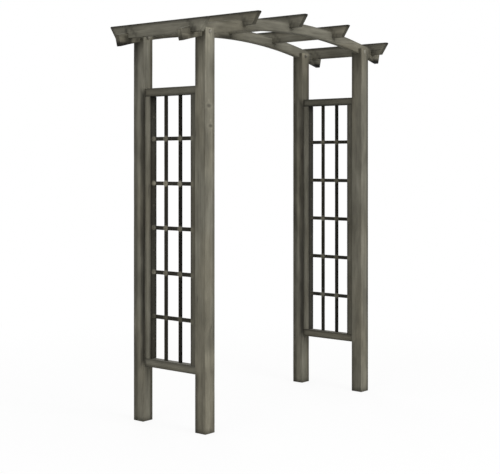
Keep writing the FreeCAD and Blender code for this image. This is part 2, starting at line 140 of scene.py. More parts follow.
class Finish:
    """One material, built up in stages. A stage is fed with numbers, colours or other stages."""

    def __init__(self, name):
        self.material = bpy.data.materials.new(name)
        self.material.use_nodes = True
        self.tree = self.material.node_tree
        self.shader = self.tree.nodes["Principled BSDF"]

    def feed(self, socket, source):
        if isinstance(source, bpy.types.NodeSocket):
            self.tree.links.new(source, socket)
        else:
            socket.default_value = source

    def stage(self, kind, feeds, **settings):
        node = self.tree.nodes.new("ShaderNode" + kind)
        for setting, choice in settings.items():
            setattr(node, setting, choice)
        for socket, source in feeds.items():
            self.feed(node.inputs[socket], source)
        return node

    def reckon(self, operation, *feeds):
        return self.stage("Math", dict(enumerate(feeds)), operation=operation).outputs[0]

    def shift(self, operation, *feeds):
        node = self.stage("VectorMath", dict(enumerate(feeds)), operation=operation)
        return node.outputs["Value" if operation == "LENGTH" else "Vector"]

    def scale(self, vector, factor):
        return self.stage("VectorMath", {0: vector, "Scale": factor}, operation="SCALE").outputs[0]

    def split(self, vector):
        return self.stage("SeparateXYZ", {0: vector}).outputs

    def spread(self, value, start, stop, low=0.0, high=1.0):
        feeds = {0: value, 1: start, 2: stop, 3: low, 4: high}
        return self.stage("MapRange", feeds, interpolation_type="SMOOTHSTEP").outputs[0]

    def clouds(self, place, stretch, detail=3.0, rough=0.5):
        """Soft random variation, stretched by a number of clouds to the metre each way."""
        spot = self.shift("MULTIPLY", place, stretch)
        feeds = {"Vector": spot, "Scale": 1.0, "Detail": detail, "Roughness": rough}
        return self.stage("TexNoise", feeds)

    def mix(self, share, first, second, blend="MIX"):
        feeds = {0: share, 6: first, 7: second}
        node = self.stage("Mix", feeds, data_type="RGBA", blend_type=blend, clamp_factor=True)
        return node.outputs[2]

    def ramp(self, value, stops):
        node = self.stage("ValToRGB", {0: value})
        points = node.color_ramp.elements
        while len(points) < len(stops):
            points.new(0.5)
        for point, (place, colour) in zip(points, stops):
            point.position = place
            point.color = (*colour, 1.0)
        return node.outputs[0]


# The stain's own colours, from where it is deepest to where it has worn thin.
STAIN = ((0.0, (0.083, 0.077, 0.058)), (0.28, (0.136, 0.128, 0.100)),
         (0.50, (0.182, 0.171, 0.134)), (0.72, (0.228, 0.216, 0.172)),
         (1.0, (0.320, 0.304, 0.250)))
COLD_TINT = (0.99, 1.0, 1.01, 1)
WARM_TINT = (1.015, 1.0, 0.965, 1)
BLEACHED = (0.28, 0.272, 0.236, 1)     # timber that the sun has bleached from above
BRANCHES = (9, 9, 2.6)     # how close branches grew, across the board and along it
KNOT = 0.085               # a knot's radius, as a share of the room that a branch has
RING = 0.0045              # from one growth ring to the next
RING_WAVE = 0.022          # how far the rings wander
RING_PUSH = 0.006          # how far a knot pushes them aside
PITH = (0.03, 0.09)        # the least and the most that the pith lies beside the board's middle
# Clouds of worn stain, from broad patches to single fibres: how close they lie across the board
# and along it, half the band of the noise that shows, and their share in the tone.
WORN_LAYERS = (
    ((9, 9, 3.2), 0.16, 0.26),
    ((30, 30, 8), 0.16, 0.18),
    ((60, 60, 1.5), 0.16, 0.17),
    ((480, 480, 10), 0.20, 0.22),
)
MIDDLE_NOISE = 0.5         # the middle of the range of any noise
RAGGED_EDGE = 0.006        # how far the border of a darkened edge wanders
RAGGED_PATCH = 1.6         # how far the border of a patch wanders, for its softness
RELIEF = 0.0008            # how high the grain stands


def weathered_stain(node, grain, seed, shade, rims, sawn=0.75, worn_ends=True, knots=(),
                    bend=None, patches=(), faces=(), rubbed=((), 1.0), sheen=0.15):
    """Stained softwood that has stood outside.

    A tone is a share of the plain stain's brightness. shade: the tone of the whole piece.
    rims: an axis, how dark the edges at its low and its high side are, and how wide they are.
    sawn: the tone of the end grain. worn_ends: whether the edges round the ends are dark too.
    knots: places and radii. bend: a curved piece's centre height and its two radii.
    patches: (middle, half size, softness, tone) of box-shaped marks with soft sides: stains, painted
    shade and painted light.
    faces: (axis, way, tone) for faces darkened as painted shade.
    rubbed: places where the stain is worn, each with the tone there, and their radius."""
    chance = random.Random(seed)
    low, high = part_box(node)
    middle = (low + high) / 2
    half = (high - low) / 2
    finish = Finish(node + "_stain")
    place = finish.stage("TexCoord", {}).outputs["Object"]
    part = finish.split(finish.shift("SUBTRACT", place, middle))
    outward = finish.split(finish.stage("NewGeometry", {}).outputs["Normal"])
    first = (grain + 1) % 3
    second = (grain + 2) % 3
    side, face, along = part[first], part[second], part[grain]
    board = finish.stage("CombineXYZ", {0: side, 1: face, 2: along}).outputs[0]
    own = finish.shift("ADD", board, [chance.uniform(0, 40) for _ in range(3)])

    # Knots: a few at random places, where branches grew, and any that are given. The distance to
    # the nearest is in radii, and the grain swirls round it with a paler ring between.
    branch = finish.stage("TexVoronoi", {"Vector": finish.shift("MULTIPLY", own, BRANCHES),
                                         "Scale": 1.0, "Randomness": 1.0})
    near = finish.reckon("DIVIDE", branch.outputs["Distance"], KNOT)
    for spot, radius in knots:
        offset = Vector(spot) - middle
        centre = (offset[first], offset[second], offset[grain])
        reach = finish.shift("MULTIPLY", finish.shift("SUBTRACT", board, centre), (1, 1, 1.8))
        distance = finish.reckon("DIVIDE", finish.shift("LENGTH", reach), radius)
        near = finish.reckon("MINIMUM", near, distance)
    knot = finish.spread(near, 1.25, 0.35)
    swirl = finish.spread(near, 3.0, 0.9)
    halo = finish.reckon("SUBTRACT", finish.spread(near, 2.6, 1.5), finish.spread(near, 1.5, 0.9))

    # Growth rings round a pith that lies outside the timber, wavy and pushed aside by knots.
    wave = finish.clouds(own, (5, 5, 0.8), 2.0).outputs[1]
    wave = finish.scale(finish.shift("SUBTRACT", wave, [MIDDLE_NOISE] * 3), RING_WAVE)
    pith = [chance.choice((-1, 1)) * chance.uniform(*PITH) for _ in range(2)]
    from_pith = finish.shift("ADD", finish.shift("SUBTRACT", board, (*pith, 0)), wave)
    from_pith = finish.shift("LENGTH", finish.shift("MULTIPLY", from_pith, (1, 1, 0)))
    from_pith = finish.reckon("MULTIPLY_ADD", swirl, RING_PUSH, from_pith)
    turns = finish.reckon("MULTIPLY", from_pith, math.tau / RING)
    rings = finish.reckon("MULTIPLY_ADD", finish.reckon("SINE", turns), 0.5, 0.5)
    rings = finish.reckon("POWER", rings, 1.6)

    # Tone: soft clouds and streaks where the stain has worn, over fine fibres.
    layers = []
    for stretch, band, share in WORN_LAYERS:
        cloud = finish.clouds(own, stretch, rough=0.55).outputs[0]
        layers.append((finish.spread(cloud, MIDDLE_NOISE - band, MIDDLE_NOISE + band), share))
    streaks = layers[1][0]
    fibres = layers[-1][0]
    tone = finish.reckon("MULTIPLY_ADD", rings, 0.13, 0.02)
    for layer, share in layers:
        tone = finish.reckon("MULTIPLY_ADD", layer, share, tone)
    colour = finish.ramp(tone, STAIN)
    warmth = finish.spread(finish.clouds(own, (6, 6, 1.6), 2.0).outputs[0], 0.38, 0.64)
    tint = finish.mix(warmth, COLD_TINT, WARM_TINT)
    colour = finish.mix(1.0, colour, tint, "MULTIPLY")

    # Drying checks: thin dark splits that run with the grain and come and go.
    split = finish.clouds(own, (30, 30, 0.75), 2.0).outputs[0]
    split = finish.reckon("ABSOLUTE", finish.reckon("SUBTRACT", split, MIDDLE_NOISE))
    open_here = finish.spread(finish.clouds(own, (9, 9, 1.4), 2.0).outputs[0], 0.55, 0.62)
    checks = finish.reckon("MULTIPLY", finish.spread(split, 0.008, 0.002), open_here)

    # How deep each point lies inside its nearest edge, and the dirt that gathers there. On a
    # curved piece that is measured from its curve.
    if bend:
        centre_height, inner, outer = bend
        raised = finish.reckon("SUBTRACT", finish.split(place)[2], centre_height)
        radial = finish.stage("CombineXYZ", {0: along, 1: raised}).outputs[0]
        face = finish.reckon("SUBTRACT", finish.shift("LENGTH", radial), (inner + outer) / 2)
        halves = {first: half[first], second: (outer - inner) / 2, grain: half[grain]}
        part = {**dict(enumerate(part)), second: face}
    else:
        halves = half
    depths = [finish.reckon("SUBTRACT", finish.reckon("ABSOLUTE", value), halves[axis])
              for value, axis in ((side, first), (face, second), (along, grain))]
    edge = finish.reckon("MINIMUM", depths[0], depths[1])
    if worn_ends:
        greater = finish.reckon("MAXIMUM", depths[0], depths[1])
        edge = finish.reckon("MAXIMUM", edge, finish.reckon("MINIMUM", greater, depths[2]))
    ragged = finish.clouds(own, (24, 24, 7)).outputs[0]
    edge = finish.reckon("MULTIPLY_ADD", ragged, RAGGED_EDGE, edge)
    across, weak, strong, width = rims
    rim = finish.spread(edge, -width, 0.3 * width)
    rim_depth = finish.spread(part[across], -halves[across], halves[across], weak, strong)

    # Everything that holds back or deepens the tone, multiplied together.
    keep = finish.reckon("SUBTRACT", shade, finish.reckon("MULTIPLY", rim, rim_depth))
    sawn_end = finish.spread(finish.reckon("ABSOLUTE", outward[grain]), 0.55, 0.8)
    for layer, left in ((knot, 0.66), (swirl, 0.94), (halo, 1.16), (checks, 0.42),
                        (sawn_end, sawn)):
        keep = finish.reckon("MULTIPLY", keep, finish.spread(layer, 0.0, 1.0, 1.0, left))
    for centre, reach, soft, left in patches:
        away = finish.shift("ABSOLUTE", finish.shift("SUBTRACT", place, centre))
        away = finish.split(finish.shift("DIVIDE", finish.shift("SUBTRACT", away, reach), soft))
        away = finish.reckon("MAXIMUM", finish.reckon("MAXIMUM", away[0], away[1]), away[2])
        wander = finish.reckon("MULTIPLY_ADD", ragged, RAGGED_PATCH, -RAGGED_PATCH * MIDDLE_NOISE)
        away = finish.reckon("ADD", away, wander)
        keep = finish.reckon("MULTIPLY", keep, finish.spread(away, -1.0, 1.0, left, 1.0))
    for axis, way, left in faces:
        turned_here = finish.reckon("MULTIPLY", outward[axis], way)
        keep = finish.reckon("MULTIPLY", keep, finish.spread(turned_here, 0.4, 0.9, 1.0, left))
    places, radius = rubbed
    for spot, tone_there in places:
        distance = finish.shift("LENGTH", finish.shift("SUBTRACT", place, spot))
        bare = finish.spread(distance, radius * 1.3, radius * 0.7)
        keep = finish.stage("Mix", {0: bare, 2: keep, 3: tone_there}).outputs[0]
    colour = finish.scale(colour, keep)

    # Pieces that lie down are bleached on top.
    if grain != Z:
        bleached = finish.reckon("MULTIPLY", finish.spread(outward[2], 0.8, 0.97), 0.5)
        colour = finish.mix(bleached, colour, BLEACHED)
    finish.feed(finish.shader.inputs["Base Color"], colour)
    finish.feed(finish.shader.inputs["Roughness"], finish.spread(tone, 0.2, 0.8, 0.70, 0.90))
    finish.shader.inputs["Specular IOR Level"].default_value = sheen

    relief = finish.reckon("MULTIPLY", fibres, 0.35)
    for layer, share in ((rings, 0.35), (knot, 0.5), (checks, -1.6), (streaks, 0.2)):
        relief = finish.reckon("MULTIPLY_ADD", layer, share, relief)
    bump = finish.stage("Bump", {"Strength": 0.55, "Distance": RELIEF, "Height": relief})
    finish.feed(finish.shader.inputs["Normal"], bump.outputs[0])
    return finish.material


ALL = 1                    # half a stain's size where it takes in the whole width of a piece
SKIN = 0.003               # half its size where it lies on one face only
SKIN_SOFT = 0.004          # how softly it stops there


def front_band(node, height, half_height, soft, tone):
    """A paler or darker band across the front face of a post."""
    low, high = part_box(node)
    return (((low.x + high.x) / 2, low.y, height), (ALL, SKIN, half_height),
            (ALL, SKIN_SOFT, soft), tone)


# The tones of each post: the whole post, then the right-hand edge, the top and the foot of its
# front face.
POST_TONES = {
    "post_front_left": (0.98, 0.72, 1.65, 1.28),
    "post_back_left": (1.06, 0.53, 1.06, 1.16),
    "post_front_right": (1.00, 0.54, 1.26, 1.50),
    "post_back_right": (1.04, 0.55, 1.50, 1.16),
}
# The darker rear edges of each post: how far in they reach, and their tone.
POST_REAR_EDGES = {
    "post_front_left": (0.015, 0.30),
    "post_back_left": (0.024, 0.28),
    "post_front_right": (0.020, 0.36),
    "post_back_right": (0.025, 0.20),
}
# Stretches of a rear edge: middle height and half length. A front post's is bare only below and
# above the trellis panel.
WHOLE_EDGE = (1.0, 1.0)
BELOW_PANEL = (0.13, 0.15)
ABOVE_PANEL = (1.88, 0.15)
# Larger knots: how far in from the left-hand edge of the front face, how high, and the radius.
POST_KNOTS = {"post_front_left": ((0.026, 1.623, 0.016), (0.039, 1.524, 0.014))}
KNOT_GLOW = ((0.026, 1.45), (-0.020, 1.2))     # paler spots above and below a knot, and their tone

for seed, (node, (shade, right_edge, top, foot)) in enumerate(POST_TONES.items(), 11):
    low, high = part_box(node)
    middle = (low + high) / 2
    at_back = middle.y > 0
    knots = [((low.x + inward, low.y, height), radius)
             for inward, height, radius in POST_KNOTS.get(node, ())]
    rear_reach, rear_tone = POST_REAR_EDGES[node]
    bare_edges = (WHOLE_EDGE,) if at_back else (BELOW_PANEL, ABOVE_PANEL)

    # The damp foot, the darker edge and the two bands that every post has in front.
    stains_and_painted_shading = [((middle.x, middle.y, low.z), (ALL, ALL, 0.016), (ALL, ALL, 0.014), 0.58),
              ((high.x, low.y, 1.0), (0.018, 0.012, 1.0), (0.007, 0.009, 0.04), right_edge),
              front_band(node, high.z + 0.04, 0.12, 0.12, top),
              front_band(node, low.z + 0.10, 0.12, 0.20, foot)]

    # Both side faces: painted shade under the rafters and dark along the rear; on a back post's
    # front, painted shade beside the back stile.
    for side, way in ((low.x, -1), (high.x, 1)):
        stains_and_painted_shading.append(((side, middle.y, high.z + 0.04), (SKIN, ALL, 0.20),
                       (SKIN_SOFT, ALL, 0.18), 0.70))
        for height, half_length in bare_edges:
            stains_and_painted_shading.append(((side, high.y, height), (0.001, rear_reach, half_length),
                           (0.005, 0.018, 0.03), rear_tone))
        if at_back:
            stains_and_painted_shading.append(((middle.x + way * 0.030, low.y, middle.z), (0.009, 0.018, 0.71),
                           (0.006, 0.016, 0.03), 0.28))

    # The front left post is worn under the beam and in two bands, and its rear left edge is lighter,
    # painted light that lifts the shade of the stile beside it.
    if node == "post_front_left":
        stains_and_painted_shading.append(((low.x + 0.020, low.y, high.z - 0.025), (0.010, SKIN, 0.014),
                       (0.014, SKIN_SOFT, 0.022), 1.28))
        stains_and_painted_shading.append(front_band(node, 0.375, 0.035, 0.05, 1.68))
        stains_and_painted_shading.append(front_band(node, 1.330, 0.070, 0.06, 1.32))
        # Painted light along the rear left edge, beside the stile.
        stains_and_painted_shading.append(((low.x, high.y, 1.0), (SKIN, 0.012, 0.66), (SKIN_SOFT, 0.012, 0.05), 1.25))
    for (x, y, z), radius in knots:
        for rise, tone in KNOT_GLOW:
            stains_and_painted_shading.append(((x, y, z + rise), (0.004, 0.01, 0.005), (0.010, 0.01, 0.010), tone))

    post = work_timber(node, Z)
    post.data.materials.append(
        weathered_stain(node, Z, seed, shade, rims=(Y, 0.0, 0.10, 0.017), knots=knots,
                        patches=stains_and_painted_shading))


# ---------------------------------------------------------------------------------------------
# Arched beams. Two boards sawn to a shallow curve, one let into the front posts and one into the
# back posts, with square-cut tails. Level seats in the top edge carry the rafters.
# ---------------------------------------------------------------------------------------------

BEAM_DEPTH = 0.060
BEAM_RADIUS = 3.340        # of the curve underneath
PAINTED_SHADE_RISE = 0.0314         # how far the middle of a patch of painted shade lies above the foot of the tails
# At each side: how far the patch of painted shade beside the post, under the end rafter, lies from
# the arch's middle, half its height and its tone, then how far in from the tail's end the drip mark
# runs and its tone.
BEAM_SHADE_AND_DRIPS = {
    "arch_beam_front": ((-0.730, 0.022, 0.62, 0.050, 0.42), (0.752, ALL, 0.50, 0.072, 0.05)),
    "arch_beam_back": ((-0.730, ALL, 0.52, 0.135, 0.14), (0.752, ALL, 0.50, 0.072, 0.04)),
}
# Other marks on the front face: how far along from the left-hand end and how far above the foot of
# the tails, then half their size, their softness and their tone. The last on the back beam is
# painted shade on its left tail, under the left end rafter.
BEAM_MARKS = {
    "arch_beam_front": (
        (0.043, 0.0565, (0.05, 0.01, 0.030), (0.02, 0.01, 0.02), 0.76),
        (1.683, 0.0365, (0.05, 0.01, ALL), (0.02, 0.01, 0.1), 0.82),
        (0, 0.0665, (0.006, ALL, 0.040), (0.008, 0.1, 0.014), 2.0),
        (0.073, 0.0285, (0.012, 0.01, 0.008), (0.020, 0.01, 0.016), 0.45),
        (0, 0.0625, (0.040, ALL, 0.003), (0.020, 0.1, 0.006), 0.65),
    ),
    "arch_beam_back": (
        (0.818, 0.1145, (0.060, 0.006, 0.014), (0.040, 0.006, 0.012), 0.40),
        (0.343, 0.0665, (0.10, 0.006, 0.030), (0.03, 0.006, 0.020), 0.50),
        (0.388, 0.0745, (0.035, 0.006, 0.008), (0.03, 0.006, 0.010), 0.42),
        (0.069, 0.0315, (0.026, 0.006, 0.025), (0.012, 0.006, 0.015), 0.45),
    ),
}
for seed, node in enumerate(BEAM_SHADE_AND_DRIPS, 31):
    low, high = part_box(node)
    centre_height = high.z - BEAM_RADIUS - BEAM_DEPTH
    stains_and_painted_shading = []
    for painted_shade_x, half_painted_shade, painted_shade_tone, reach, drip in BEAM_SHADE_AND_DRIPS[node]:
        end_x = math.copysign(high.x, painted_shade_x)
        # Painted shade beside the post, under the end rafter, then the drip mark at the tail's end.
        stains_and_painted_shading.append(((painted_shade_x, 0, low.z + PAINTED_SHADE_RISE), (0.012, ALL, half_painted_shade),
                       (0.018, 0.1, 0.020), painted_shade_tone))
        stains_and_painted_shading.append(((end_x, 0, low.z), (reach, ALL, 0.024), (0.010, 0.1, 0.012), drip))
    for along, rise, half_size, soft, tone in BEAM_MARKS[node]:
        stains_and_painted_shading.append(((low.x + along, low.y, low.z + rise), half_size, soft, tone))
    beam = work_timber(node, X, joint_face=0.0003)
    beam.data.materials.append(
        weathered_stain(node, X, seed, 0.98, rims=(Z, 0.25, 0.30, 0.009), patches=stains_and_painted_shading,
                        bend=(centre_height, BEAM_RADIUS, BEAM_RADIUS + BEAM_DEPTH)))


# ---------------------------------------------------------------------------------------------
# Rafters. Five straight lengths laid across both beams on edge. Each is notched underneath to
# drop over the beams, and its ends are cut on the slant, longer on top.
# ---------------------------------------------------------------------------------------------

END_SLANT = 46 / 69        # how far an end leans back under its top, for each length down
TIP_ROUNDING = 0.008       # how far back from the sharp tip of an end its rounding starts
DAB = 0.016                # from one dab of a slanting streak to the next, on the way down
DABS = 4
# The tone of each rafter, and that of its sawn ends. On all but the left end rafter the ends are
# darker as painted shade, since they face down.
RAFTER_TONES = {
    "rafter_left_end": (0.97, 0.95),
    "rafter_left": (0.98, 0.48),
    "rafter_middle": (0.99, 0.48),
    "rafter_right": (0.94, 0.48),
    "rafter_right_end": (1.04, 0.48),
}
# Marks of their own: how far back from the arch's middle, how far below the top, half length, half
# height, softness along the rafter, and tone. The first on the left end rafter is painted shade, by
# the back beam.
RAFTER_MARKS = {
    "rafter_left_end": ((0.218, 0.039, 0.008, 0.022, 0.014, 0.30),
                        (-0.115, 0.056, 0.042, 0.009, 0.040, 1.50),
                        (-0.295, 0.057, 0.018, 0.010, 0.015, 1.60),
                        (0.010, 0.031, 0.040, 0.010, 0.040, 0.84)),
    "rafter_left": ((-0.12, 0, 0.09, 0.005, 0.04, 0.60),),
    "rafter_right_end": ((0.06, 0.069, 0.09, 0.005, 0.04, 0.50),),
}
beam_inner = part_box("arch_beam_back")[0].y
beam_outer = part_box("arch_beam_back")[1].y
for seed, (node, (shade, sawn)) in enumerate(RAFTER_TONES.items(), 41):
    low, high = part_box(node)
    middle_x = (low.x + high.x) / 2
    stains_and_painted_shading = []

    # By each beam: painted shade in the corner outside it, and a streak that leans forward going
    # down.
    for beam in (-1, 1):
        stains_and_painted_shading.append(((middle_x, beam * (beam_outer + 0.007), low.z + 0.012),
                       (ALL, 0.004, 0.008), (ALL, 0.016, 0.026), 0.42))
        for dab in range(DABS):
            sink = 0.010 + DAB * dab
            stains_and_painted_shading.append(((middle_x, beam * (beam_inner + 0.002) - sink, high.z - sink),
                           (ALL, 0.004, 0.009), (ALL, 0.012, 0.012), 0.56))

    # At each end: a dark tip and a paler patch behind it, and a dark streak down the back end.
    for end in (-1, 1):
        stains_and_painted_shading.append(((middle_x, end * high.y, high.z), (ALL, 0.010, 0.006),
                       (ALL, 0.014, 0.010), 0.25))
        stains_and_painted_shading.append(((middle_x, end * (high.y - 0.034), high.z - 0.032), (ALL, 0.004, 0.012),
                       (ALL, 0.016, 0.018), 1.22))
    for dab in range(DABS):
        sink = 0.006 + DAB * dab
        stains_and_painted_shading.append(((middle_x, high.y - 0.006 - END_SLANT * sink, high.z - sink),
                       (ALL, 0.009, 0.008), (ALL, 0.010, 0.010), 0.45))
    for back, drop, half_length, half_height, soft, tone in RAFTER_MARKS.get(node, ()):
        stains_and_painted_shading.append(((middle_x, back, high.z - drop), (ALL, half_length, half_height),
                       (ALL, soft, 0.011), tone))
    rafter = work_timber(node, Y, step=0.03, blunted=TIP_ROUNDING)
    rafter.data.materials.append(
        weathered_stain(node, Y, seed, shade, rims=(Z, 0.14, 0.95, 0.026), sawn=sawn,
                        worn_ends=False, patches=stains_and_painted_shading))


# ---------------------------------------------------------------------------------------------
# Trellis panels. On each side, two rails run from post to post with two stiles tenoned between
# them. Thin slats, stained darker, are half lapped into a grid and housed in that frame.
# ---------------------------------------------------------------------------------------------

# The tone where the stain is worn, at the crossings of the slats and at the back stile: row by row
# from the bottom, times that for the front slat, the back slat and the stile.
CROSSING_TONES = {
    "left": ((0.55, 1.05, 1.10, 1.45, 1.00), (1.00, 1.00, 1.00)),
    "right": ((1.00, 1.00, 0.90, 0.95, 0.95), (0.68, 0.80, 0.55)),
}
HOUSING_TONE = 0.82        # the same, on the left-hand face of the front stile
CROSSING_RADIUS = 0.016    # radius of the worn place on a slat
HOUSING_RADIUS = 0.014     # and on the frame
RAIL_TONES = {"left": (0.90, 0.74), "right": (0.74, 0.62)}     # the bottom rail and the top rail
# The front stile is darker than the back one: partly its own tone, partly painted shade from the
# post beside it.
FRONT_STILE_TONE_AND_SHADE = 0.62
BACK_STILE_TONE = 1.10
FRONT_SLAT_TONE = 0.11     # the front upright slats, which kept the most stain
SLAT_TONE = 0.18           # all other slats


def middle_of(node):
    """The middle of a node's box."""
    low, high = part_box(node)
    return (low + high) / 2


for first_seed, side in ((51, "left"), (61, "right")):
    plane = middle_of(f"{side}_stile_front").x
    heights = [middle_of(f"{side}_cross_slat_{row}").z for row in range(1, 6)]
    places = [middle_of(f"{side}_upright_slat_front").y, middle_of(f"{side}_upright_slat_back").y,
              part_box(f"{side}_stile_back")[0].y - 0.005]
    by_row, by_place = CROSSING_TONES[side]
    crossings = [((plane, place, height), row_tone * place_tone)
                 for place, place_tone in zip(places, by_place)
                 for height, row_tone in zip(heights, by_row)]
    at_back_stile = crossings[-len(heights):]
    front_stile_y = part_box(f"{side}_stile_front")[1].y - 0.009
    at_front_stile = [((plane - 0.018, front_stile_y, height), HOUSING_TONE) for height in heights]

    # The frame. The faces that look into the panel are darkened as painted shade, and the top corner
    # of the back stile, under the rail, carries a painted shadow.
    bottom_rail_tone, top_rail_tone = RAIL_TONES[side]
    members = (("bottom_rail", Y, bottom_rail_tone, ((Z, 1, 0.5),)),
               ("top_rail", Y, top_rail_tone, ((Z, -1, 0.4),)),
               ("stile_front", Z, FRONT_STILE_TONE_AND_SHADE, ((Y, 1, 0.4),)),
               ("stile_back", Z, BACK_STILE_TONE, ((Y, -1, 0.24),)))
    under_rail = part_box(f"{side}_top_rail")[0].z - 0.001
    for seed, (part, grain, shade, painted_shade_faces) in enumerate(members, first_seed):
        node = f"{side}_{part}"
        # Painted shadow under the top rail, in the top corner of the back stile's inside face.
        corner = ((plane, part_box(node)[0].y, under_rail), (ALL, 0.006, 0.022),
                  (ALL, 0.004, 0.030), 0.40)
        member = work_timber(node, grain, eased=0.0018)
        member.data.materials.append(
            weathered_stain(node, grain, seed, shade, rims=(Z, 0.42, 0.42, 0.013), faces=painted_shade_faces,
                            rubbed=(at_back_stile + at_front_stile, HOUSING_RADIUS),
                            patches=(corner,) if part == "stile_back" else ()))

    # The slats, each worn only where it meets another.
    slats = [(f"upright_slat_{end}", Z) for end in ("front", "back")]
    slats += [(f"cross_slat_{row}", Y) for row in range(1, 6)]
    for seed, (part, grain) in enumerate(slats, first_seed + 20):
        node = f"{side}_{part}"
        low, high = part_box(node)
        met = [(spot, tone) for spot, tone in crossings
               if low.y < spot[1] < high.y and low.z < spot[2] < high.z]
        shade = FRONT_SLAT_TONE if part.endswith("front") else SLAT_TONE
        slat = work_timber(node, grain, eased=0.0012)
        slat.data.materials.append(
            weathered_stain(node, grain, seed, shade, rims=(Z, 0.04, 0.04, 0.004),
                            rubbed=(met, CROSSING_RADIUS), sheen=0.05))


# ---------------------------------------------------------------------------------------------
# Arch bolts. A galvanised carriage bolt goes through each post top and the beam in its slot: a
# low domed head on the outer face, and a washer, a nut and the end of the thread on the inner.
# ---------------------------------------------------------------------------------------------


def loose_parts(node):
    """The box of each separate solid in a group of fasteners, as (lowest, highest) corners."""
    solid = bmesh.new()
    solid.from_mesh(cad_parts[node].data)
    bmesh.ops.remove_doubles(solid, verts=solid.verts, dist=SAME_POINT)
    left = set(solid.verts)
    boxes = []
    while left:
        batch = [left.pop()]
        found = list(batch)
        while batch:
            corner = batch.pop()
            for edge in corner.link_edges:
                other = edge.other_vert(corner)
                if other in left:
                    left.remove(other)
                    batch.append(other)
                    found.append(other)
        spots = [corner.co for corner in found]
        boxes.append((Vector([min(spot[axis] for spot in spots) for axis in (X, Y, Z)]),
                      Vector([max(spot[axis] for spot in spots) for axis in (X, Y, Z)])))
    solid.free()
    return sorted(boxes, key=lambda box: tuple(box[0]))


def point_row(reach, height, count, first=0.0):
    """A closed row of points round an upright axis. reach gives the radius at each angle."""
    angles = [math.tau * (step + first) / count for step in range(count)]
    return [(reach(angle) * math.cos(angle), reach(angle) * math.sin(angle), height)
            for angle in angles]


def round_rows(profile, count):
    """Rows for a piece turned on a lathe, from (radius, height) pairs listed from the top down."""
    return [point_row(lambda angle: radius, height, count) for radius, height in profile]


def skin(work, rows, place, ends=True):
    """Join rows of points, each of equal count, into a skin, and close its two ends if asked."""
    loops = [[work.verts.new(place @ Vector(point)) for point in points] for points in rows]
    for upper, lower in zip(loops, loops[1:]):
        count = len(upper)
        for index in range(count):
            following = (index + 1) % count
            work.faces.new((upper[index], lower[index], lower[following], upper[following]))
    if ends:
        work.faces.new(loops[0])
        work.faces.new(loops[-1][::-1])


def facing(spot, outward):
    """Stand a fastener at a spot with its own up direction pointing outward."""
    turn = Vector((0, 0, 1)).rotation_difference(Vector(outward)).to_matrix().to_4x4()
    return Matrix.Translation(spot) @ turn


def finish_group(work, node, material, sharp=CREASE):
    """Turn finished fasteners into one piece that stands for their CAD group."""
    bmesh.ops.recalc_face_normals(work, faces=work.faces)
    mesh = bpy.data.meshes.new(node + "_made")
    work.to_mesh(mesh)
    work.free()
    mesh.shade_smooth()
    mesh.set_sharp_from_angle(angle=sharp)
    mesh.materials.append(material)
    piece = bpy.data.objects.new(node + "_made", mesh)
    bpy.context.scene.collection.objects.link(piece)
    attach(piece, "root")
    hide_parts(node)


SPANGLES = 420             # crystals of zinc to the metre
GRIME = (0.085, 0.070, 0.052, 1)


def galvanised(name, pale, dark, rough):
    """Dull zinc on steel, with a crystalline mottle, pitting and a little dirt."""
    finish = Finish(name)
    place = finish.stage("TexCoord", {}).outputs["Object"]
    spangle = finish.stage("TexVoronoi", {"Vector": place, "Scale": SPANGLES}).outputs["Color"]
    spangle = finish.stage("SeparateColor", {0: spangle}).outputs[0]
    grime = finish.spread(finish.clouds(place, (160, 160, 160), 4.0, 0.6).outputs[0], 0.42, 0.66)
    colour = finish.mix(finish.reckon("MULTIPLY", spangle, 0.6), (*pale, 1), (*dark, 1))
    colour = finish.mix(finish.reckon("MULTIPLY", grime, 0.65), colour, GRIME)
    finish.feed(finish.shader.inputs["Base Color"], colour)
    finish.feed(finish.shader.inputs["Metallic"], finish.spread(grime, 0.2, 1.0, 0.6, 0.2))
    finish.feed(finish.shader.inputs["Roughness"], finish.spread(grime, 0.0, 1.0, rough, 0.85))
    bump = finish.stage("Bump", {"Strength": 0.35, "Distance": 0.0002, "Height": grime})
    finish.feed(finish.shader.inputs["Normal"], bump.outputs[0])
    return finish.material


zinc = galvanised("zinc", (0.33, 0.315, 0.265), (0.25, 0.24, 0.20), 0.75)
BOLT_SHANK = 0.005         # radius of the shank
BOLT_HEAD = 0.005          # height of the head
HEAD_RIM = 0.0003          # how far the dome stops short of the head's rim
DOME_STEPS = 8
THREADED = 0.020           # length of the thread
THREAD_PITCH = 0.0015
THREAD_DEPTH = 0.0008
THREAD_STEPS = 6           # rows for each turn of the thread
BOLT_POINTS = 32           # points round a bolt


def thread_row(height):
    """One row of a thread: its groove deepens and grows shallow again once in a turn."""
    def reach(angle):
        phase = (height / THREAD_PITCH + angle / math.tau) % 1.0
        return BOLT_SHANK - THREAD_DEPTH * (1 - abs(2 * phase - 1))

    return point_row(reach, height, BOLT_POINTS)


